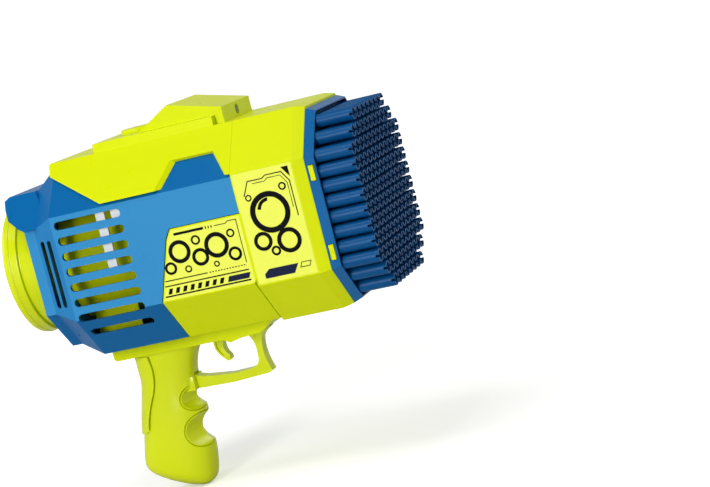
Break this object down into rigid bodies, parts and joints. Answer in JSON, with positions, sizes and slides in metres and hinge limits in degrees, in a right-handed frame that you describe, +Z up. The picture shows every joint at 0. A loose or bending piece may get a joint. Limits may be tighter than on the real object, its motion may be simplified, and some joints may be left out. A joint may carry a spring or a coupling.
{
  "type": "battery bubble blower",
  "caption": "Pistol-shaped bubble blower: eight-sided two-colour barrel, a fan inside, a nozzle of notched tubes, a light with a push button on top, a trigger and a battery grip.",
  "frame": {"origin": "middle of the underside of the whole box, level with the lowest point of the grip", "axes": "+X forward along the barrel towards the nozzle, +Y to the left, +Z up"},
  "size_m": [0.2634, 0.133, 0.2601],
  "materials": {
    "lime_plastic": "moulded, semi-gloss",
    "blue_plastic": "moulded, semi-gloss",
    "deep_blue_plastic": "moulded, semi-gloss",
    "white_plastic": "moulded, satin",
    "black_plastic": "moulded, satin",
    "clear_plastic": "clear, polished",
    "steel": "plated",
    "cell_wrap": "shrink film"
  },
  "bodies": {
    "housing": {"front_collar": "lime_plastic", "nozzle_bezel": "blue_plastic", "nozzle_plate": "deep_blue_plastic", "diffuser": "lime_plastic", "rear_shell_right": "blue_plastic", "rear_shell_left": "blue_plastic", "lower_shell_right": "lime_plastic", "lower_shell_left": "lime_plastic", "top_cover": "lime_plastic", "light_housing": "lime_plastic", "light_lens": "clear_plastic", "light_led": "white_plastic", "button_spring": "steel", "button_switch": "steel", "intake_ring": "lime_plastic", "intake_grille": "lime_plastic", "fan_duct": "lime_plastic", "duct_straps": "white_plastic", "fan_motor": "steel", "handle_base": "lime_plastic", "grip_right": "lime_plastic", "grip_left": "lime_plastic", "trigger_guard": "lime_plastic", "trigger_pin": "steel", "trigger_spring": "steel", "trigger_bracket": "white_plastic", "trigger_switch": "black_plastic", "switch_leaf": "steel", "battery_tray": "white_plastic", "battery_cell": "cell_wrap", "battery_contacts": "steel", "battery_door": "lime_plastic", "housing_screws": "steel", "grip_screws": "steel"},
    "trigger": {"trigger": "lime_plastic"},
    "button": {"light_button": "lime_plastic"},
    "fan": {"fan_impeller": "white_plastic", "fan_shaft": "steel"}
  },
  "joints": [
    {"name": "trigger_pull", "type": "hinge", "parent": "housing", "child": "trigger", "pos_m": [-0.0107, 0, 0.1031], "axis": [0, 1, 0], "range_deg": [0, 12], "stiffness_Nm_per_rad": 0.2, "springref_deg": -5.73, "deforming": ["trigger_spring", "switch_leaf"]},
    {"name": "button_press", "type": "slide", "parent": "housing", "child": "button", "axis": [0, 0, -1], "range_m": [0, 0.002], "stiffness_N_per_m": 800, "springref_m": -0.0005, "deforming": ["button_spring"]},
    {"name": "fan_spin", "type": "hinge", "parent": "housing", "child": "fan", "pos_m": [-0.08875, 0, 0.1725], "axis": [1, 0, 0], "continuous": true}
  ]
}
